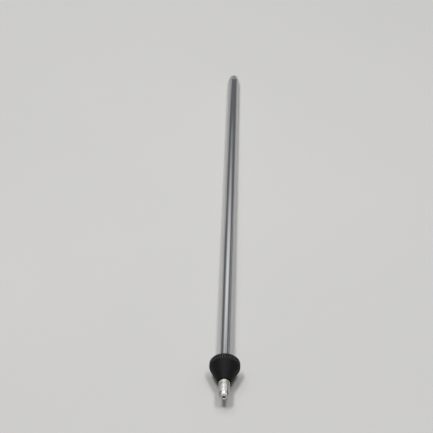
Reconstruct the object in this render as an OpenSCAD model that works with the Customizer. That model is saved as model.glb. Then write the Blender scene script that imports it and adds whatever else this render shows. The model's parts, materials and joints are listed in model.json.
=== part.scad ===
// Telescopic snow probe, collapsed and lying on a flat surface.
// It rests on the rim of its lock nut and on the tail of its outer tube,
// with the tip towards -Y and +Z up. Millimetres.

/* [Tubes] */
// Outside diameter of the outer tube
outer_d = 12; // [12:0.1:12.4]
// Wall thickness of every tube
wall = 0.55; // [0.5:0.05:0.6]
// How much thinner each section is than the one around it
section_step = 1.9; // [1.8:0.05:2]
// Length from the nut's back face to the tail of the probe
tail_len = 455; // [350:1:600]
// Length of the mouth that is rolled inwards on the inner tubes
rolled_mouth = 3.5; // [2.5:0.5:5]

/* [End cap] */
// Diameter of the ball that rounds the cap's end
cap_ball_d = 10; // [8:0.5:11]
// Angle of the taper behind the ball
cap_taper = 11; // [8:1:20]

/* [Lock nut] */
// Outside diameter of the knurled band
nut_d = 31.1; // [28:0.1:36]
// Whole length of the nut
nut_len = 25.9; // [24:0.1:26]
// Length of the knurled band
band_len = 7.6; // [5:0.1:9]
// Diameter of the nut's front face
nut_front_d = 13.6; // [13.2:0.1:15]
// Number of flutes round the knurled band
flutes = 40; // [20:4:60]
// Diameter of the cutter that makes each flute
flute_d = 1.3; // [0.8:0.1:1.6]
// Depth of each flute
flute_depth = 0.35; // [0.2:0.05:0.6]

/* [Tip] */
// Outside diameter of the mouth collar
collar_d = 11.4; // [11.2:0.05:11.5]
// Outside diameter of the tip's barrel
tip_d = 11.4; // [10.4:0.1:11.8]
// Diameter of the tip's flat end
tip_end_d = 7.4; // [6.4:0.1:9.6]
// Length of the tapered nose
nose_len = 3; // [0.8:0.1:4]
// Diameter of the hole in the tip's end
socket_d = 3.3; // [2.5:0.1:4]
// Depth of the hole in the tip's end
socket_depth = 7; // [5:0.5:7]

/* [Guides] */
// Length of the part of each tail bush that runs in the tube outside it
bush_head = 16; // [12:1:20]
// Length of the part of each tail bush that is pressed into its own tube
bush_spigot = 8; // [5:1:10]
// Radial clearance of every running fit
fit = 0.05; // [0.03:0.01:0.06]
// Radial clearance of the friction rings
ring_fit = 0.02; // [0.01:0.01:0.03]
// Each tail bush's air bore, as a share of its own tube's bore
bush_bore_share = 0.6; // [0.5:0.01:0.65]

/* [Hidden] */
$fn = 96;
pin_fn = 32;
small_fn = 24;
eps = 0.01;
cut = 1;

// Places along the axis, measured forwards from the nut's back face.
outer_mouth = 10;
seat_back = -1;
ferrule_back = 1.5;
ferrule_front = 13;
collet_back = 13.2;
collet_front = 17.9;
thrust_back = 14.2;
thrust_front = 18.4;
wiper_back = 18.6;
wiper_front = 20.5;
collar_back = 22;
collar_front = 31;
collar_lip = 1.5;
collar_guide = 7;
collar_pin_at = 28.4;
washer_gap = 0.1;
washer_len = 0.8;
washer_back = collar_front + washer_gap;
tip_back = washer_back + washer_len;
tip_len = 13.6;
tip_front = tip_back + tip_len;
tip_pocket = 3.1;
tube_5_mouth = tip_back + tip_pocket;
tip_pin_at = tip_back + 1.7;
stud_back = 20;
stud_gap = 0.5;
stud_front = tip_front - socket_depth - stud_gap;

// Sections.
function tube_od(i) = outer_d - (i - 1) * section_step;
function tube_id(i) = tube_od(i) - 2 * wall;
cap_head = 10.5;
cap_land = 0.5;
cap_spigot = 9.5;
cap_arc_steps = 12;
ball_r = cap_ball_d / 2;
ball_centre = -tail_len + ball_r;
taper_len = (outer_d / 2 - ball_r * cos(cap_taper)) / tan(cap_taper);
taper_front = ball_centre - ball_r * sin(cap_taper) + taper_len;
cap_front = max(-tail_len + cap_head, taper_front + cap_land);
spigot_front = cap_front + cap_spigot;
buffer_len = 2;
buffer_room = 0.4;
tail_gap = 2;
seat_gap = 1.5;
first_bush = spigot_front + buffer_len + tail_gap;
function bush_start(i) = first_bush + (i - 2) * (bush_head + bush_spigot + seat_gap);
function tube_start(i) = bush_start(i) + bush_head;
function bush_bore(i) = tube_id(i) * bush_bore_share;
groove_at = 6;
groove_len = 3;
ring_wall = 0.73;
ring_slit = 1.2;
ring_end_gap = 0.1;

// Lock parts.
ferrule_d = 17;
ferrule_seat_d = outer_d - 0.2;
relief_d = outer_d - 0.5;
relief_w = 1;
oring_d = 0.9;
oring_at = 4.05;
oring_groove_w = 1.1;
thrust_d = 14.9;
thrust_clear = 0.1;
thrust_pocket_end = 18.5;
thrust_pocket_start = 13.5;
wiper_d = 13.4;
nut_mouth_d = 12;
nut_chamfer = 1.5;
collet_flange_d = 14;
collet_flange = 0.8;
collet_back_d = 13.1;
collet_front_d = 11.2;
collet_slots = 4;
collet_slot_w = 0.8;
cone_gap = 0.1;

// Small pins and the tip's inner pieces.
collar_pin_d = 1.6;
collar_pin_sunk = 0.15;
tip_pin_d = 1.5;
tip_pin_sunk = 0.2;
insert_d = 5.2;
stop_washer_d = 11;

// Resting attitude: the nut's rim and the cap's shoulder both touch z = 0.
rest_tilt = atan((nut_d - outer_d) / 2 / (nut_chamfer - taper_front));
rest_h = nut_d / 2 * cos(rest_tilt) - nut_chamfer * sin(rest_tilt);
tail_reach = -ball_centre * cos(rest_tilt) + ball_r;
tip_reach = -tip_front * cos(rest_tilt) - tip_end_d / 2 * sin(rest_tilt);
rest_y = -(tail_reach + tip_reach) / 2;

// Puts a piece drawn along +Z (tip upwards, top side towards +Y) in its resting attitude.
module lying() {
    translate([0, rest_y, rest_h]) rotate([90 - rest_tilt, 0, 0]) children();
}

// A round piece between two places on the axis.
module rod(d, from, to) {
    translate([0, 0, from]) cylinder(d = d, h = to - from);
}

// A cone between two places on the axis.
module cone(d_from, d_to, from, to) {
    translate([0, 0, from]) cylinder(d1 = d_from, d2 = d_to, h = to - from);
}

// A ring with a plain bore.
module ring(d_out, d_in, from, to) {
    difference() {
        rod(d_out, from, to);
        rod(d_in, from - cut, to + cut);
    }
}

// A drawn tube whose mouth may be rolled in to guide the next section.
module drawn_tube(i, to, lip) {
    difference() {
        rod(tube_od(i), tube_start(i), to);
        rod(tube_id(i), tube_start(i) - cut, lip > 0 ? to - lip : to + cut);
        rod(tube_od(i + 1) + 2 * fit, tube_start(i) - cut, to + cut);
    }
}

// The guide pressed into the tail of an inner tube, with a groove for its friction ring.
module tail_bush(i) {
    from = bush_start(i);
    groove_from = from + groove_at;
    difference() {
        union() {
            rod(tube_id(i - 1) - 2 * fit, from, from + bush_head);
            rod(tube_id(i), from + bush_head - eps, from + bush_head + bush_spigot);
        }
        rod(bush_bore(i), from - cut, from + bush_head + bush_spigot + cut);
        ring(tube_id(i - 1) + cut, tube_id(i - 1) - 2 * ring_wall, groove_from, groove_from + groove_len);
    }
}

// A split spring ring that rubs on the bore of the tube outside it.
module friction_ring(i) {
    from = bush_start(i) + groove_at + ring_end_gap;
    to = bush_start(i) + groove_at + groove_len - ring_end_gap;
    difference() {
        ring(tube_id(i - 1) - 2 * ring_fit, tube_id(i - 1) - 2 * ring_wall, from, to);
        translate([0, -ring_slit / 2, from - cut]) cube([outer_d, ring_slit, to - from + 2 * cut]);
    }
}

module outer_tube() {
    color("lightsteelblue") lying() difference() {
        union() {
            rod(outer_d, cap_front, seat_back - relief_w);
            rod(relief_d, seat_back - relief_w - eps, seat_back + eps);
            rod(ferrule_seat_d, seat_back, outer_mouth);
        }
        rod(tube_id(1), -tail_len, outer_mouth + cut);
    }
}

module end_cap() {
    ball_end = [for (k = [0 : cap_arc_steps])
        let (a = (90 - cap_taper) * k / cap_arc_steps) [ball_r * sin(a), ball_centre - ball_r * cos(a)]];
    head = [[outer_d / 2, taper_front], [outer_d / 2, cap_front], [tube_id(1) / 2, cap_front]];
    spigot = [[tube_id(1) / 2, spigot_front], [0, spigot_front]];
    color("slategray") lying() rotate_extrude() polygon(concat(ball_end, head, spigot));
}

module end_buffer() {
    color("dimgray") lying() rod(tube_id(1) - buffer_room, spigot_front, spigot_front + buffer_len);
}

module nut_ferrule() {
    groove_back = oring_at - oring_groove_w / 2;
    color("silver") lying() difference() {
        rod(ferrule_d, ferrule_back, ferrule_front);
        rod(ferrule_seat_d, ferrule_back - cut, outer_mouth);
        rod(tube_od(2) + 2 * fit, outer_mouth - cut, ferrule_front + cut);
        ring(ferrule_d + cut, ferrule_d - 2 * oring_d, groove_back, groove_back + oring_groove_w);
    }
}

module ferrule_o_ring() {
    color("black") lying() translate([0, 0, oring_at])
        rotate_extrude() translate([(ferrule_d - oring_d) / 2, 0]) circle(d = oring_d, $fn = small_fn);
}

module collet() {
    color("ivory") lying() difference() {
        union() {
            rod(collet_flange_d, collet_back, collet_back + collet_flange);
            cone(collet_back_d, collet_front_d, collet_back + collet_flange, collet_front);
        }
        rod(tube_od(2) + 2 * fit, collet_back - cut, collet_front + cut);
        for (a = [0 : 360 / collet_slots : 359])
            rotate([0, 0, a + 180 / collet_slots])
                translate([0, -collet_slot_w / 2, collet_back + collet_flange])
                    cube([collet_flange_d, collet_slot_w, collet_front]);
    }
}

module thrust_ring() {
    slope = (collet_back_d - collet_front_d) / (collet_front - collet_back - collet_flange);
    back_d = collet_back_d + 2 * cone_gap;
    front_d = back_d - slope * (thrust_front - thrust_back);
    color("goldenrod") lying() difference() {
        rod(thrust_d, thrust_back, thrust_front);
        cone(back_d + slope * cut, front_d - slope * cut, thrust_back - cut, thrust_front + cut);
        rod(tube_od(2) + 2 * thrust_clear, thrust_back - cut, thrust_front + cut);
    }
}

module lock_nut() {
    color("#1c1c1e") lying() difference() {
        union() {
            cone(nut_d - 2 * nut_chamfer, nut_d, 0, nut_chamfer);
            rod(nut_d, nut_chamfer, band_len);
            cone(nut_d, nut_front_d, band_len, nut_len);
        }
        rod(ferrule_d + 2 * fit, -cut, thrust_pocket_start);
        rod(thrust_d + 2 * fit, thrust_pocket_start - cut, thrust_pocket_end);
        rod(wiper_d, thrust_pocket_end - cut, wiper_front);
        rod(nut_mouth_d, wiper_front - cut, nut_len + cut);
        for (i = [0 : flutes - 1])
            rotate([0, 0, (i + 0.5) * 360 / flutes])
                translate([(nut_d + flute_d) / 2 - flute_depth, 0, -cut])
                    cylinder(d = flute_d, h = band_len + 2 * cut, $fn = small_fn);
    }
}

module wiper_ring() {
    color("dimgray") lying() ring(wiper_d, tube_od(2) + 2 * fit, wiper_back, wiper_front);
}

module tube_2() {
    color("lightsteelblue") lying() difference() {
        ring(tube_od(2), tube_id(2), tube_start(2), collar_front - collar_lip);
        collar_pin_hole();
    }
}

module collar_pin_hole() {
    translate([0, tube_od(2) / 2, collar_pin_at]) rotate([90, 0, 0])
        cylinder(d = collar_pin_d, h = collar_d - tube_id(2), center = true, $fn = pin_fn);
}

module mouth_collar() {
    color("gainsboro") lying() difference() {
        union() {
            ring(collar_d, tube_od(2), collar_back, collar_front);
            ring(tube_od(2) + eps, tube_od(3) + 2 * fit, collar_front - collar_lip, collar_front);
            ring(tube_id(2), tube_od(3) + 2 * fit, collar_front - collar_guide, collar_front);
        }
        collar_pin_hole();
    }
}

module collar_pin() {
    top = collar_d / 2 - collar_pin_sunk;
    color("dimgray") lying() translate([0, top, collar_pin_at]) rotate([90, 0, 0])
        cylinder(d = collar_pin_d, h = top - tube_id(2) / 2, $fn = pin_fn);
}

module tube_3() {
    color("lightsteelblue") lying() drawn_tube(3, collar_front, rolled_mouth);
}

module tube_4() {
    color("lightsteelblue") lying() drawn_tube(4, collar_front, rolled_mouth);
}

module tube_5() {
    color("lightsteelblue") lying() difference() {
        ring(tube_od(5), tube_id(5), tube_start(5), tube_5_mouth);
        tip_pin_hole();
    }
}

module tail_bush_2() {
    color("peru") lying() tail_bush(2);
}

module tail_bush_3() {
    color("peru") lying() tail_bush(3);
}

module tail_bush_4() {
    color("peru") lying() tail_bush(4);
}

module tail_bush_5() {
    color("peru") lying() tail_bush(5);
}

module friction_ring_2() {
    color("gold") lying() friction_ring(2);
}

module friction_ring_3() {
    color("gold") lying() friction_ring(3);
}

module friction_ring_4() {
    color("gold") lying() friction_ring(4);
}

module friction_ring_5() {
    color("gold") lying() friction_ring(5);
}

module stop_washer() {
    color("silver") lying() ring(stop_washer_d, tube_od(5), washer_back, tip_back);
}

module tip_pin_hole() {
    translate([0, 0, tip_pin_at]) rotate([0, 90, 0])
        cylinder(d = tip_pin_d, h = tip_d + 2 * cut, center = true, $fn = pin_fn);
}

module tip_body() {
    color("whitesmoke") lying() difference() {
        union() {
            rod(tip_d, tip_back, tip_front - nose_len);
            cone(tip_d, tip_end_d, tip_front - nose_len, tip_front);
        }
        rod(tube_od(5), tip_back - cut, tube_5_mouth);
        rod(tube_id(5), tube_5_mouth - cut, stud_front);
        rod(insert_d, tip_front - socket_depth, tip_front + cut);
        tip_pin_hole();
    }
}

module tip_stud() {
    color("gray") lying() difference() {
        rod(tube_id(5), stud_back, stud_front);
        tip_pin_hole();
    }
}

module tip_pin() {
    color("gray") lying() translate([0, 0, tip_pin_at]) rotate([0, 90, 0])
        cylinder(d = tip_pin_d, h = tip_d - 2 * tip_pin_sunk, center = true, $fn = pin_fn);
}

module tip_insert() {
    color("darkgray") lying() ring(insert_d, socket_d, tip_front - socket_depth, tip_front);
}

outer_tube();
end_cap();
end_buffer();
nut_ferrule();
ferrule_o_ring();
collet();
thrust_ring();
lock_nut();
wiper_ring();
tube_2();
tail_bush_2();
friction_ring_2();
mouth_collar();
collar_pin();
tube_3();
tail_bush_3();
friction_ring_3();
tube_4();
tail_bush_4();
friction_ring_4();
tube_5();
tail_bush_5();
friction_ring_5();
stop_washer();
tip_body();
tip_stud();
tip_pin();
tip_insert();
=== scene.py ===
import json
import math

import bmesh
import bpy
from mathutils import Matrix, Vector


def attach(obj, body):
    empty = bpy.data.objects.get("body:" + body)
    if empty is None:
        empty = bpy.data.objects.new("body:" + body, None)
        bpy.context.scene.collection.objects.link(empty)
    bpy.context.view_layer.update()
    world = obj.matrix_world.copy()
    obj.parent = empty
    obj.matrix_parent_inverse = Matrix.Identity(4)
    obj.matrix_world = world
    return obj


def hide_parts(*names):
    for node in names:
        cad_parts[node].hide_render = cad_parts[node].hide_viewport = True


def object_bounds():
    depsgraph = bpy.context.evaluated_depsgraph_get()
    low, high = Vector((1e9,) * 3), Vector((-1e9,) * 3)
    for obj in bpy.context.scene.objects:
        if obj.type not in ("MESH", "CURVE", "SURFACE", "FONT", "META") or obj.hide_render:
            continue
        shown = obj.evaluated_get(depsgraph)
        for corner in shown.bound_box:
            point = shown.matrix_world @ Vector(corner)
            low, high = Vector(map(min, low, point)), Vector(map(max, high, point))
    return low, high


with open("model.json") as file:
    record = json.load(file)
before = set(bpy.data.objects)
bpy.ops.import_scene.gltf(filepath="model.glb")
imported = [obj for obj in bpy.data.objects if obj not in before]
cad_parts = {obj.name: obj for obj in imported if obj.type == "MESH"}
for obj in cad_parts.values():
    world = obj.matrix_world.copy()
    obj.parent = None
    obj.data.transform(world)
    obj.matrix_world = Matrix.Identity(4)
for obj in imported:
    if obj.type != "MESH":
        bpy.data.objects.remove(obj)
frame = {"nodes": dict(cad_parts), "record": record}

cad_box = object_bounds()

MM = 0.001

# ---------------------------------------------------------------- the probe's own axis
# Pieces are drawn along +Z (tip upwards, top side towards +Y) in millimetres measured from
# the nut's back face, then laid in the frame with this matrix.

joints = {j["name"]: j for j in frame["record"]["behaviour"]["joints"]}
forward = Vector(joints["extend_2"]["axis"]).normalized()
across = Vector((1, 0, 0))
upward = forward.cross(across)
AXIS_POINT_AT = 12.0
nut_back = Vector(joints["nut_twist"]["pos_m"]) - forward * AXIS_POINT_AT * MM
LAY = Matrix((across, upward, forward)).transposed().to_4x4()
LAY.translation = nut_back


def span(node):
    """Where a CAD node starts and ends along the probe's axis, and its largest radius, in mm."""
    low, high = math.inf, -math.inf
    radius = 0.0
    for v in frame["nodes"][node].data.vertices:
        p = v.co - nut_back
        along = p.dot(forward)
        low, high = min(low, along), max(high, along)
        radius = max(radius, (p - forward * along).length)
    return low / MM, high / MM, radius / MM


# ---------------------------------------------------------------- mesh helpers

SEGMENTS = 160
FINE_SEGMENTS = 224
ROUND_STEPS = 5
ROUND_SHARE = 0.49
ON_AXIS, WELD_DIST = 1e-6, 1e-7
CREASE, SOFT_CREASE = 32, 50


def rounded(points):
    """Turns corners (along, radius, fillet) of a closed or open outline into a list of (along, radius)."""
    out = []
    for i, (z, r, fillet) in enumerate(points):
        if not fillet or i in (0, len(points) - 1):
            out.append((z, r))
            continue
        here = Vector((z, r))
        before = Vector(points[i - 1][:2]) - here
        after = Vector(points[i + 1][:2]) - here
        half = before.angle(after) / 2
        reach = min(fillet / math.tan(half), before.length * ROUND_SHARE, after.length * ROUND_SHARE)
        a = here + before.normalized() * reach
        b = here + after.normalized() * reach
        for k in range(ROUND_STEPS + 1):
            t = k / ROUND_STEPS
            p = a.lerp(here, t).lerp(here.lerp(b, t), t)
            out.append((p.x, p.y))
    return out


def finish_mesh(bm, name, body, slot, replaced, crease=CREASE):
    """Makes the piece, lays it on the probe's axis, shades it and hangs it on its body."""
    bmesh.ops.scale(bm, vec=(MM, MM, MM), verts=bm.verts)
    bmesh.ops.remove_doubles(bm, verts=bm.verts, dist=WELD_DIST)
    bmesh.ops.recalc_face_normals(bm, faces=bm.faces)
    for f in bm.faces:
        f.smooth = True
    for e in bm.edges:
        e.smooth = len(e.link_faces) == 2 and e.calc_face_angle(0) < math.radians(crease)
    mesh = bpy.data.meshes.new(name)
    bm.to_mesh(mesh)
    bm.free()
    piece = bpy.data.objects.new(name, mesh)
    bpy.context.scene.collection.objects.link(piece)
    piece.matrix_world = LAY
    mesh.materials.append(MATS[slot])
    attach(piece, body)
    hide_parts(*replaced)
    return piece


HOLD = 0.25
LONG_STRETCH = 1.5


def held(outline, closed):
    """Adds a ring close to each end of a long stretch, so that smooth shading stays flat between them."""
    out = []
    following = outline[1:] + (outline[:1] if closed else [])
    for a, b in zip(outline, following):
        out.append(a)
        length = math.hypot(b[0] - a[0], b[1] - a[1])
        if length > LONG_STRETCH:
            for t in (HOLD / length, 1 - HOLD / length):
                out.append((a[0] + (b[0] - a[0]) * t, a[1] + (b[1] - a[1]) * t))
    return out if closed else out + [outline[-1]]


def lathe(outline, closed=True, segments=SEGMENTS, bend=None):
    """A turned solid. A closed outline goes round a ring's section, an open one from axis to axis."""
    outline = held(outline, closed)
    bm = bmesh.new()
    rows = []
    for z, r in outline:
        if r < ON_AXIS:
            rows.append([bm.verts.new((0, 0, z))])
            continue
        row = []
        for k in range(segments):
            a = 2 * math.pi * k / segments
            rr = bend(a, z, r) if bend else r
            row.append(bm.verts.new((rr * math.cos(a), rr * math.sin(a), z)))
        rows.append(row)
    pairs = list(zip(rows, rows[1:]))
    if closed:
        pairs.append((rows[-1], rows[0]))
    for low, high in pairs:
        for k in range(segments):
            j = (k + 1) % segments
            if len(low) == 1 and len(high) == 1:
                continue
            if len(low) == 1:
                bm.faces.new((low[0], high[j], high[k]))
            elif len(high) == 1:
                bm.faces.new((low[k], low[j], high[0]))
            else:
                bm.faces.new((low[k], low[j], high[j], high[k]))
    return bm


def densify(outline, step):
    """Adds points along straight stretches so that no stretch is longer than step."""
    out = [outline[0]]
    for a, b in zip(outline, outline[1:]):
        n = max(1, math.ceil(math.hypot(b[0] - a[0], b[1] - a[1]) / step))
        out += [(a[0] + (b[0] - a[0]) * k / n, a[1] + (b[1] - a[1]) * k / n) for k in range(1, n + 1)]
    return out


def smoothstep(low, high, x):
    t = min(1.0, max(0.0, (x - low) / (high - low)))
    return t * t * (3 - 2 * t)


# ---------------------------------------------------------------- materials

NOISE_LOW, NOISE_HIGH = 0.3, 0.7


class Nodes:
    """Short hand for building one Principled material."""

    def __init__(self, name, color, metallic=0.0, roughness=0.5, **sockets):
        self.mat = bpy.data.materials.new(name)
        self.mat.use_nodes = True
        self.tree = self.mat.node_tree
        self.shader = self.tree.nodes["Principled BSDF"]
        self.coords = self.new("ShaderNodeTexCoord").outputs["Object"]
        self.set("Base Color", (*color, 1))
        self.set("Metallic", metallic)
        self.set("Roughness", roughness)
        for key, value in sockets.items():
            self.set(key.replace("_", " "), value)
        self.height = None

    def new(self, kind, **values):
        node = self.tree.nodes.new(kind)
        for key, value in values.items():
            setattr(node, key, value)
        return node

    def link(self, a, b):
        self.tree.links.new(a, b)

    def set(self, socket, value):
        self.shader.inputs[socket].default_value = value

    def stretched(self, scale):
        m = self.new("ShaderNodeMapping")
        m.inputs["Scale"].default_value = scale
        self.link(self.coords, m.inputs["Vector"])
        return m.outputs["Vector"]

    def noise(self, scale, detail=4.0, rough=0.55):
        n = self.new("ShaderNodeTexNoise")
        self.link(self.stretched(scale), n.inputs["Vector"])
        n.inputs["Scale"].default_value = 1.0
        n.inputs["Detail"].default_value = detail
        n.inputs["Roughness"].default_value = rough
        return n.outputs["Fac"]

    def ramp(self, value, low, high, out_low, out_high):
        m = self.new("ShaderNodeMapRange")
        self.link(value, m.inputs["Value"])
        for key, number in zip(("From Min", "From Max", "To Min", "To Max"), (low, high, out_low, out_high)):
            m.inputs[key].default_value = number
        return m.outputs["Result"]

    def mix(self, factor, a, b):
        m = self.new("ShaderNodeMix", data_type="RGBA")
        self.link(factor, m.inputs["Factor"])
        for socket, value in ((m.inputs["A"], a), (m.inputs["B"], b)):
            if isinstance(value, tuple):
                socket.default_value = (*value, 1)
            else:
                self.link(value, socket)
        return m.outputs["Result"]

    def math(self, operation, a, b):
        m = self.new("ShaderNodeMath", operation=operation)
        for socket, value in zip(m.inputs, (a, b)):
            if isinstance(value, (int, float)):
                socket.default_value = value
            else:
                self.link(value, socket)
        return m.outputs["Value"]

    def color(self, output):
        self.link(output, self.shader.inputs["Base Color"])

    def rough(self, output):
        self.link(output, self.shader.inputs["Roughness"])

    def bump(self, height, distance, strength=1.0):
        b = self.new("ShaderNodeBump")
        b.inputs["Distance"].default_value = distance
        b.inputs["Strength"].default_value = strength
        self.link(height, b.inputs["Height"])
        if self.height is not None:
            self.link(self.height, b.inputs["Normal"])
        self.height = b.outputs["Normal"]
        self.link(self.height, self.shader.inputs["Normal"])


def drawn_metal(name, color, roughness, streak=0.05, tint=0.03):
    """Metal with fine lines along the tube, as a drawn and buffed tube has."""
    n = Nodes(name, color, metallic=1.0, roughness=roughness)
    lines = n.noise((2600, 2600, 9), detail=3)
    broad = n.noise((500, 500, 14), detail=2)
    smear = n.noise((60, 60, 18), detail=4)
    n.color(n.mix(n.ramp(smear, 0.35, 0.65, 0, 1), tuple(c * (1 - tint) for c in color), color))
    along = n.ramp(lines, NOISE_LOW, NOISE_HIGH, -streak, streak)
    patches = n.ramp(smear, NOISE_LOW, NOISE_HIGH, -0.01, 0.02)
    n.rough(n.math("ADD", n.math("ADD", along, patches), roughness))
    n.bump(broad, 2e-6)
    n.bump(lines, 1.2e-6)
    return n.mat


def turned_metal(name, color, roughness, line=0.05, groove=1.5e-6, patina=None):
    """Metal with fine rings round the axis, as a lathe leaves."""
    n = Nodes(name, color, metallic=1.0, roughness=roughness)
    rings = n.noise((40, 40, 5200), detail=3)
    cloud = n.noise((260, 260, 260), detail=5)
    dark = patina or tuple(c * 0.9 for c in color)
    n.color(n.mix(n.ramp(cloud, 0.42, 0.7, 0, 1), color, dark))
    around = n.ramp(rings, NOISE_LOW, NOISE_HIGH, -line, line)
    patches = n.ramp(cloud, NOISE_LOW, NOISE_HIGH, -0.03, 0.05)
    n.rough(n.math("ADD", n.math("ADD", around, patches), roughness))
    n.bump(rings, groove)
    return n.mat


def moulded_black():
    """Matte black grip: fine moulded grain, grey scuffing; crests of the knurl painted paler, partly as wear
    and partly as a painted highlight where light catches them.
    """
    dark, grey, rubbed_and_highlit = (0.006, 0.006, 0.007), (0.013, 0.013, 0.014), (0.055, 0.055, 0.058)
    crest_r, root_r = 15.5 * MM, 15.3 * MM
    n = Nodes("nut_black", dark, roughness=0.5, Specular_IOR_Level=0.1)
    grain = n.noise((4200, 4200, 4200), detail=2)
    cloud = n.noise((420, 420, 180), detail=5, rough=0.6)
    parts = n.new("ShaderNodeSeparateXYZ")
    n.link(n.coords, parts.inputs["Vector"])
    squares = [n.math("MULTIPLY", parts.outputs[axis], parts.outputs[axis]) for axis in ("X", "Y")]
    from_axis = n.math("SQRT", n.math("ADD", *squares), 0)
    # Paler knurl crests: partly rubbed wear, partly a painted highlight standing in for light caught on the
    # crests.
    crest = n.math("MULTIPLY", n.ramp(from_axis, root_r, crest_r, 0, 1), n.ramp(cloud, 0.35, 0.6, 0.3, 1))
    plain = n.mix(n.ramp(cloud, 0.45, 0.75, 0, 1), dark, grey)
    n.color(n.mix(crest, plain, rubbed_and_highlit))
    n.rough(n.ramp(cloud, NOISE_LOW, NOISE_HIGH, 0.46, 0.64))
    n.bump(grain, 1.2e-5)
    return n.mat


def soft_rubber(name, color):
    n = Nodes(name, color, roughness=0.75)
    grain = n.noise((2500, 2500, 2500), detail=3)
    cloud = n.noise((300, 300, 300), detail=3)
    n.color(n.mix(cloud, tuple(c * 0.7 for c in color), tuple(min(1, c * 1.6) for c in color)))
    n.rough(n.ramp(cloud, NOISE_LOW, NOISE_HIGH, 0.65, 0.85))
    n.bump(grain, 8e-6)
    return n.mat


def moulded_nylon():
    ivory, warm = (0.78, 0.76, 0.69), (0.70, 0.66, 0.56)
    n = Nodes("collet_nylon", ivory, roughness=0.4, Subsurface_Weight=0.1)
    cloud = n.noise((320, 320, 320), detail=4)
    n.color(n.mix(n.ramp(cloud, 0.4, 0.75, 0, 1), ivory, warm))
    n.rough(n.ramp(cloud, NOISE_LOW, NOISE_HIGH, 0.34, 0.5))
    n.bump(cloud, 6e-6)
    return n.mat


MATS = {
    "polished_tube": drawn_metal("polished_tube", (0.46, 0.464, 0.472), 0.09, streak=0.03),
    "inner_tube": drawn_metal("inner_tube", (0.60, 0.61, 0.62), 0.16),
    "dark_steel": turned_metal("dark_steel", (0.22, 0.225, 0.235), 0.28),
    "tail_alloy": turned_metal("tail_alloy", (0.44, 0.444, 0.452), 0.18),
    "steel": turned_metal("steel", (0.56, 0.56, 0.56), 0.26),
    "ferrule_alloy": turned_metal("ferrule_alloy", (0.72, 0.73, 0.75), 0.3),
    "collar_alloy": turned_metal("collar_alloy", (0.54, 0.527, 0.486), 0.2, patina=(0.40, 0.345, 0.27)),
    "tip_alloy": turned_metal("tip_alloy", (0.46, 0.456, 0.447), 0.11, line=0.03),
    "brass": turned_metal("brass", (0.62, 0.45, 0.22), 0.3, patina=(0.36, 0.25, 0.12)),
    "spring_bronze": drawn_metal("spring_bronze", (0.60, 0.40, 0.22), 0.3),
    "nut_black": moulded_black(),
    "collet_nylon": moulded_nylon(),
    "seal_rubber": soft_rubber("seal_rubber", (0.03, 0.03, 0.032)),
}


# ---------------------------------------------------------------- the outer tube and its end

WALL = 0.55
TUBE_EDGE = 0.12
MOUTH_LEN, MOUTH_SLOPE, MOUTH_EDGE = 3.5, 0.6, 0.35


def tube_section(start, end, outer, lip):
    """Outline of a plain tube. A lip radius rolls its front end inwards."""
    inner = outer - WALL
    points = [(start, inner, 0), (start, outer, TUBE_EDGE)]
    if lip is None:
        return points + [(end, outer, TUBE_EDGE), (end, inner, 0)]
    shoulder = end - MOUTH_LEN
    return points + [
        (end, outer, MOUTH_EDGE), (end, lip, 0.1), (shoulder + MOUTH_SLOPE, lip, 0.2), (shoulder, inner, 0)]


RELIEF_FROM, RELIEF_TO, RELIEF_DEPTH = -2.0, -1.0, 0.25
FERRULE_SEAT_DEPTH = 0.1


def outer_tube():
    """The long tube, with a narrow relief and a turned seat for the ferrule at its mouth."""
    start, end, radius = span("outer_tube")
    relief_r, seat_r = radius - RELIEF_DEPTH, radius - FERRULE_SEAT_DEPTH
    outline = rounded([
        (start, radius - WALL, 0), (start, radius, 0.08),
        (RELIEF_FROM, radius, 0.08), (RELIEF_FROM, relief_r, 0.1),
        (RELIEF_TO, relief_r, 0.1), (RELIEF_TO, seat_r, 0.08),
        (end, seat_r, 0.15), (end, radius - WALL, 0)])
    bm = lathe(outline, segments=FINE_SEGMENTS)
    return finish_mesh(bm, "tube_outer", "outer", "polished_tube", ["outer_tube"])


CAP_BALL_R = 5.0
CAP_TAPER = math.radians(11)
CAP_ARC_STEPS = 24
CAP_SHOULDER_ROUND = 0.9
SEAM_GROOVE, SEAM_EDGE = 0.12, 0.15
CAP_LEAD = 0.6


def end_cap():
    """A turned plug with a ball end and a short taper up to the tube's own diameter."""
    start, end, radius = span("end_cap")
    seam = span("outer_tube")[0]
    centre = start + CAP_BALL_R
    arc_end = math.pi / 2 - CAP_TAPER
    outline = []
    for k in range(CAP_ARC_STEPS + 1):
        angle = arc_end * k / CAP_ARC_STEPS
        outline.append((centre - CAP_BALL_R * math.cos(angle), CAP_BALL_R * math.sin(angle)))
    taper_z, taper_r = outline[-1]
    shoulder = taper_z + (radius - taper_r) / math.tan(CAP_TAPER)
    outline += rounded([
        (taper_z, taper_r, 0), (shoulder, radius, CAP_SHOULDER_ROUND), (seam - SEAM_EDGE, radius, 0.06),
        (seam, radius - SEAM_GROOVE, 0), (seam, radius - WALL, 0), (end - CAP_LEAD, radius - WALL, 0),
        (end, radius - WALL - CAP_LEAD, 0), (end, 0, 0)])[1:]
    return finish_mesh(lathe(outline, closed=False), "tail_cap", "outer", "tail_alloy", ["end_cap"])


# ---------------------------------------------------------------- the lock nut

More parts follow.
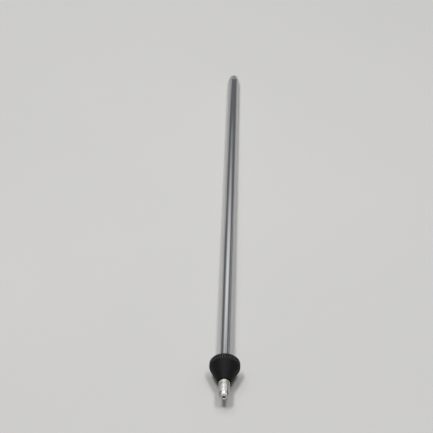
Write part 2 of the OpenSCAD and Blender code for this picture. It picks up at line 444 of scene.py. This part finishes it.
FLUTES = 40
FLUTE_DEPTH = 0.38
BAND_LEN = 7.6
BAND_STEP, BAND_EDGE, STEP_FOOT, STEP_LAND = 0.6, 0.5, 0.15, 0.7
NUT_EDGE, THREAD_LEAD = 1.2, 0.5
FLUTE_POWER, FLUTE_END = 1.5, 0.4
FADE_IN, FADE_OUT = (-0.1, 0.8), (-0.6, 0.2)
NUT_RING_GAP = 0.6
POINTS_PER_FLUTE = 16
NUT_FRONT_R, NUT_FRONT_EDGE = 6.8, 0.2
MOUTH_RISE, MOUTH_LEAD = 0.35, 0.4
THREAD_R, THRUST_POCKET_R, WIPER_POCKET_R, NUT_MOUTH_R = 8.55, 7.5, 6.7, 6.0
THRUST_POCKET, WIPER_POCKET = (13.5, 18.5), (18.5, 20.5)


def lock_nut():
    """Knurled band at the back, a small step, then the long cone down to the mouth."""
    back, front, radius = span("lock_nut")
    step_r = radius - BAND_STEP
    outline = rounded([
        (back, THREAD_R + THREAD_LEAD, 0), (back, radius - NUT_EDGE, 0.6), (back + NUT_EDGE, radius, 1.0),
        (BAND_LEN - BAND_EDGE, radius, 0.5), (BAND_LEN + STEP_FOOT, step_r, 0.3),
        (BAND_LEN + STEP_LAND, step_r, 0.3), (front - NUT_FRONT_EDGE, NUT_FRONT_R, 0.4),
        (front, NUT_MOUTH_R + MOUTH_RISE, 0.2), (front - MOUTH_LEAD, NUT_MOUTH_R, 0.1),
        (WIPER_POCKET[1], NUT_MOUTH_R, 0), (WIPER_POCKET[1], WIPER_POCKET_R, 0),
        (WIPER_POCKET[0], WIPER_POCKET_R, 0), (THRUST_POCKET[1], THRUST_POCKET_R, 0),
        (THRUST_POCKET[0], THRUST_POCKET_R, 0), (THRUST_POCKET[0], THREAD_R, 0),
        (back + THREAD_LEAD, THREAD_R, 0)])
    outline = densify(outline, NUT_RING_GAP)

    def flute(angle, z, r):
        """Radius with the flutes cut in, fading out at both edges of the band."""
        if r < radius - NUT_EDGE or z > BAND_LEN + FLUTE_END:
            return r
        wave = abs(math.cos(FLUTES * angle / 2))
        depth = FLUTE_DEPTH * (1 - wave ** FLUTE_POWER)
        fade_in = smoothstep(back + FADE_IN[0], back + FADE_IN[1], z)
        fade_out = smoothstep(BAND_LEN + FADE_OUT[0], BAND_LEN + FADE_OUT[1], z)
        return r - depth * fade_in * (1 - fade_out)

    bm = lathe(outline, segments=FLUTES * POINTS_PER_FLUTE, bend=flute)
    return finish_mesh(bm, "lock_nut_knurled", "nut", "nut_black", ["lock_nut"], crease=SOFT_CREASE)


# ---------------------------------------------------------------- collar, washer and tip

RUNNING_FIT = 0.05
COLLAR_LIP, COLLAR_GUIDE_LEN = 1.5, 7.0


def mouth_collar():
    """Ring on the mouth of tube_2: seated on it outside, lining it inside, closed over its end."""
    start, end, radius = span("mouth_collar")
    seat_r, guide_r = span("tube_2")[2], span("tube_3")[2] + RUNNING_FIT
    bore_r, guide_at, lip_at = seat_r - WALL, end - COLLAR_GUIDE_LEN, end - COLLAR_LIP
    outline = rounded([
        (start, seat_r, 0), (start, radius, 0.2), (end, radius, 0.12), (end, guide_r, 0.12),
        (guide_at, guide_r, 0.1), (guide_at, bore_r, 0), (lip_at, bore_r, 0), (lip_at, seat_r, 0)])
    return finish_mesh(lathe(outline), "collar_ring", "section_2", "collar_alloy", ["mouth_collar"])


def stop_washer():
    start, end, radius = span("stop_washer")
    bore_r = span("tube_5")[2]
    outline = rounded([(start, bore_r, 0), (start, radius, 0.12), (end, radius, 0.12), (end, bore_r, 0)])
    return finish_mesh(lathe(outline), "washer_stop", "section_5", "steel", ["stop_washer"])


NOSE_LEN = 4.0
NOSE_FLAT_R = 2.8
NOSE_STEPS = 24
TUBE_SEAT_LEN = 3.1
SOCKET_R = 1.65
SOCKET_LIP = 0.15


def tip_body():
    """A straight barrel whose nose is a quarter ellipse down to a small flat end."""
    start, end, radius = span("tip_body")
    insert_start, insert_r = span("tip_insert")[0], span("tip_insert")[2]
    seat, seat_r = start + TUBE_SEAT_LEN, span("tube_5")[2]
    outline = rounded([(start, seat_r, 0), (start, radius, 0.1), (end - NOSE_LEN, radius, 0)])
    for k in range(1, NOSE_STEPS + 1):
        angle = math.pi / 2 * k / NOSE_STEPS
        outline.append((end - NOSE_LEN * (1 - math.sin(angle)),
                        NOSE_FLAT_R + (radius - NOSE_FLAT_R) * math.cos(angle)))
    outline += [(end, insert_r), (insert_start, insert_r), (insert_start, SOCKET_R),
                (seat, SOCKET_R), (seat, seat_r)]
    return finish_mesh(lathe(outline), "tip_shell", "section_5", "tip_alloy", ["tip_body"])


def tip_insert():
    """The socket's bright ring, with a rounded lip that stands a little proud of the flat end."""
    start, end, radius = span("tip_insert")
    behind, front = end - SOCKET_LIP, end + SOCKET_LIP
    outline = rounded([
        (start, SOCKET_R, 0), (start, radius, 0), (behind, radius, 0), (front, radius - SOCKET_LIP, 0.2),
        (front, SOCKET_R + 2 * SOCKET_LIP, 0.2), (behind, SOCKET_R, 0)])
    return finish_mesh(lathe(outline), "tip_socket_ring", "section_5", "steel", ["tip_insert"])


# ---------------------------------------------------------------- inner tubes

INNER_TUBES = (2, 3, 4, 5)
ROLLED_TUBES = (3, 4)


def inner_tube(i):
    """One inner section. The rolled ones close in on the next section with a running fit."""
    node = f"tube_{i}"
    lip = span(f"tube_{i + 1}")[2] + RUNNING_FIT if i in ROLLED_TUBES else None
    start, end, radius = span(node)
    outline = rounded(tube_section(start, end, radius, lip))
    return finish_mesh(lathe(outline), f"section_tube_{i}", f"section_{i}", "inner_tube", [node])


outer_tube()
end_cap()
lock_nut()
mouth_collar()
stop_washer()
tip_body()
tip_insert()
for number in INNER_TUBES:
    inner_tube(number)

# Pieces whose CAD shape is right take their material from the record's slot.
for row in frame["record"]["subparts"]:
    cad = frame["nodes"][row["node"]]
    cad.data.materials.clear()
    cad.data.materials.append(MATS[row["material_slot"]])


# ---------------------------------------------------------------- floor

def floor_material():
    pale, shade = (0.80, 0.795, 0.785), (0.785, 0.782, 0.775)
    n = Nodes("floor_paper", pale, roughness=0.6, Specular_IOR_Level=0.0)
    cloud = n.noise((3, 3, 3), detail=3)
    grain = n.noise((900, 900, 900), detail=3)
    n.color(n.mix(n.ramp(cloud, 0.35, 0.65, 0, 1), pale, shade))
    n.rough(n.ramp(grain, NOISE_LOW, NOISE_HIGH, 0.55, 0.7))
    n.bump(grain, 2e-5)
    return n.mat


FLOOR_HALF = 6.0
low_corner = cad_box[0]
bm = bmesh.new()
bmesh.ops.create_grid(bm, x_segments=2, y_segments=2, size=FLOOR_HALF)
floor_mesh = bpy.data.meshes.new("floor")
bm.to_mesh(floor_mesh)
bm.free()
floor = bpy.data.objects.new("floor", floor_mesh)
floor.location = (0, 0, low_corner.z)
bpy.context.scene.collection.objects.link(floor)
floor_mesh.materials.append(floor_material())


# ---------------------------------------------------------------- light

def area_light(name, place, target, size, power, color=(1, 1, 1)):
    lamp = bpy.data.lights.new(name, "AREA")
    lamp.shape = "RECTANGLE"
    lamp.size, lamp.size_y = size
    lamp.energy = power
    lamp.color = color
    holder = bpy.data.objects.new(name, lamp)
    bpy.context.scene.collection.objects.link(holder)
    holder.location = place
    holder.rotation_mode = "QUATERNION"
    holder.rotation_quaternion = (Vector(target) - Vector(place)).to_track_quat("-Z", "Y")
    holder.visible_camera = False
    return holder


def card(name, place, target, size, radiance):
    """A glowing card that only shows as a reflection in the metal."""
    holder = area_light(name, place, target, size, math.pi * size[0] * size[1] * radiance)
    holder.visible_diffuse = False
    return holder


BACK, UP = Vector((0, 1, 0)), Vector((0, 0, 1))

# Two wide lamps straight above the tip, one each side, throw the pair of pale soft shadows.
LAMP_HEIGHT = 2.4
LAMP_SPREAD = math.radians(13.3)
LAMP_SIZE = (0.65, 0.4)
LAMP_COLOR = (1.0, 0.99, 0.97)
LEFT_POWER, RIGHT_POWER = 16.5, 13.5
tip_y = low_corner.y
for side, power in ((-1, LEFT_POWER), (1, RIGHT_POWER)):
    lamp_place = (side * LAMP_HEIGHT * math.tan(LAMP_SPREAD), tip_y, LAMP_HEIGHT)
    area_light(f"lamp_{side}", lamp_place, (0, tip_y, 0), LAMP_SIZE, power, LAMP_COLOR)

# A long softbox overhead, set back, fills both shadows and blurs their edges.
SOFTBOX_PLACE = Vector((-0.3, tip_y + 1.0, 2.4))
SOFTBOX_SIZE = (2.2, 0.9)
SOFTBOX_POWER = 14.0
area_light("softbox", SOFTBOX_PLACE, SOFTBOX_PLACE - UP, SOFTBOX_SIZE, SOFTBOX_POWER)

# Upright panels behind, one inside the other, give the tube's soft bright streak.
PANEL_X, PANEL_Y = -0.1, 1.5
PANELS = 5
PANEL_GLOW = 0.26
PANEL_BOTTOM, PANEL_TOP, PANEL_WIDTH = 1.10, 1.84, 2.10
BOTTOM_STEP, TOP_STEP, WIDTH_STEP, CARD_STEP = 0.13, 0.04, 0.34, 0.02
for k in range(PANELS):
    bottom, top = PANEL_BOTTOM + BOTTOM_STEP * k, PANEL_TOP - TOP_STEP * k
    middle = Vector((PANEL_X, PANEL_Y + CARD_STEP * k, (bottom + top) / 2))
    card(f"panel_{k}", middle, middle - BACK, (PANEL_WIDTH - WIDTH_STEP * k, top - bottom), PANEL_GLOW)

# A dim backdrop sets how dark the metal's core looks, and a small side card its right edge.
BACKDROP_SIZE = (5.0, 2.6)
BACKDROP_GLOW = 0.09
BACKDROP_GAP = 0.2
backdrop = Vector((0, PANEL_Y + BACKDROP_GAP, BACKDROP_SIZE[1] / 2))
card("backdrop", backdrop, backdrop - BACK, BACKDROP_SIZE, BACKDROP_GLOW)
SIDE_CARD_PLACE = Vector((1.42, 1.35, 0.55))
SIDE_CARD_SIZE, SIDE_CARD_GLOW = (0.4, 0.3), 0.35
card("side_card", SIDE_CARD_PLACE, Vector((0, 0, 0)), SIDE_CARD_SIZE, SIDE_CARD_GLOW)

# A card above the near side carries the tip's bright streak on round its nose.
NOSE_CARD_AWAY = 0.6
NOSE_CARD_RISE = math.radians(38)
NOSE_CARD_SIZE = (1.8, 0.62)
NOSE_CARD_GLOW = 1.5
tip_end = Vector((0, tip_y, 0))
nose_card_place = tip_end + NOSE_CARD_AWAY * Vector((0, -math.cos(NOSE_CARD_RISE), math.sin(NOSE_CARD_RISE)))
card("nose_card", nose_card_place, tip_end, NOSE_CARD_SIZE, NOSE_CARD_GLOW)

# A canopy straight above the tip joins that card to the arch behind.
CANOPY_X, CANOPY_BACK, CANOPY_HEIGHT = -0.1, 0.13, 0.62
CANOPY_SIZE = (2.8, 0.62)
CANOPY_GLOW = 0.75
canopy = Vector((CANOPY_X, tip_y + CANOPY_BACK, CANOPY_HEIGHT))
card("canopy", canopy, canopy - UP, CANOPY_SIZE, CANOPY_GLOW)

# An arch of cards close behind shows in the tip and the collar only.
ARCH_Y = cad_box[1].y
ARCH_RADIUS = 0.595
ARCH_DEPTH = 0.13
ARCH_CARDS = 10
ARCH_FROM, ARCH_TO = math.radians(-78), math.radians(62)
ARCH_GLOW, ARCH_BOOST, ARCH_PEAK, ARCH_FADE = 0.98, 1.05, -0.17, 0.5
arch_step = (ARCH_TO - ARCH_FROM) / ARCH_CARDS
for k in range(ARCH_CARDS):
    angle = ARCH_FROM + (k + 0.5) * arch_step
    place = Vector((ARCH_RADIUS * math.sin(angle), ARCH_Y, ARCH_RADIUS * math.cos(angle)))
    glow = ARCH_GLOW + ARCH_BOOST * max(0, 1 - abs(angle - ARCH_PEAK) / ARCH_FADE)
    holder = card(f"arch_{k}", place, place - BACK, (ARCH_DEPTH, ARCH_RADIUS * arch_step), glow)
    holder.rotation_mode = "XYZ"
    holder.rotation_euler = (math.radians(90), math.radians(90) - angle, math.radians(180))

# Low cards behind the far end light the tube's flanks there, higher on the left.
LOW_CARD_GAP = 0.104
LOW_CARD_GLOW = 0.36
LOW_CARD_WIDTH = 0.35
LEFT_HEIGHT, RIGHT_HEIGHT = 0.085, 0.042
low_card_y = cad_box[1].y + LOW_CARD_GAP
for side, height in ((-1, LEFT_HEIGHT), (1, RIGHT_HEIGHT)):
    middle = Vector((side * LOW_CARD_WIDTH / 2, low_card_y, height / 2))
    card(f"low_card_{side}", middle, middle - BACK, (LOW_CARD_WIDTH, height), LOW_CARD_GLOW)

ROOM_COLOR, ROOM_STRENGTH = (0.80, 0.82, 0.85, 1), 0.18
world = bpy.data.worlds.new("room")
bpy.context.scene.world = world
world.use_nodes = True
background = world.node_tree.nodes["Background"]
background.inputs["Color"].default_value = ROOM_COLOR
background.inputs["Strength"].default_value = ROOM_STRENGTH

# ---------------------------------------------------------------- camera

CAMERA_PLACE = (0.0236, -1.41855, 1.4124)
CAMERA_DOWN = 44.46
CAMERA_YAW = 1.512
CAMERA_LENS, CAMERA_SENSOR, CAMERA_REACH = 153.1, 36, 50
camera_data = bpy.data.cameras.new("camera")
camera_data.lens = CAMERA_LENS
camera_data.sensor_width = CAMERA_SENSOR
camera_data.clip_end = CAMERA_REACH
camera = bpy.data.objects.new("camera", camera_data)
bpy.context.scene.collection.objects.link(camera)
camera.location = CAMERA_PLACE
camera.rotation_euler = (math.radians(90 - CAMERA_DOWN), 0, math.radians(CAMERA_YAW))
bpy.context.scene.camera = camera
bpy.context.scene.view_settings.view_transform = "Standard"
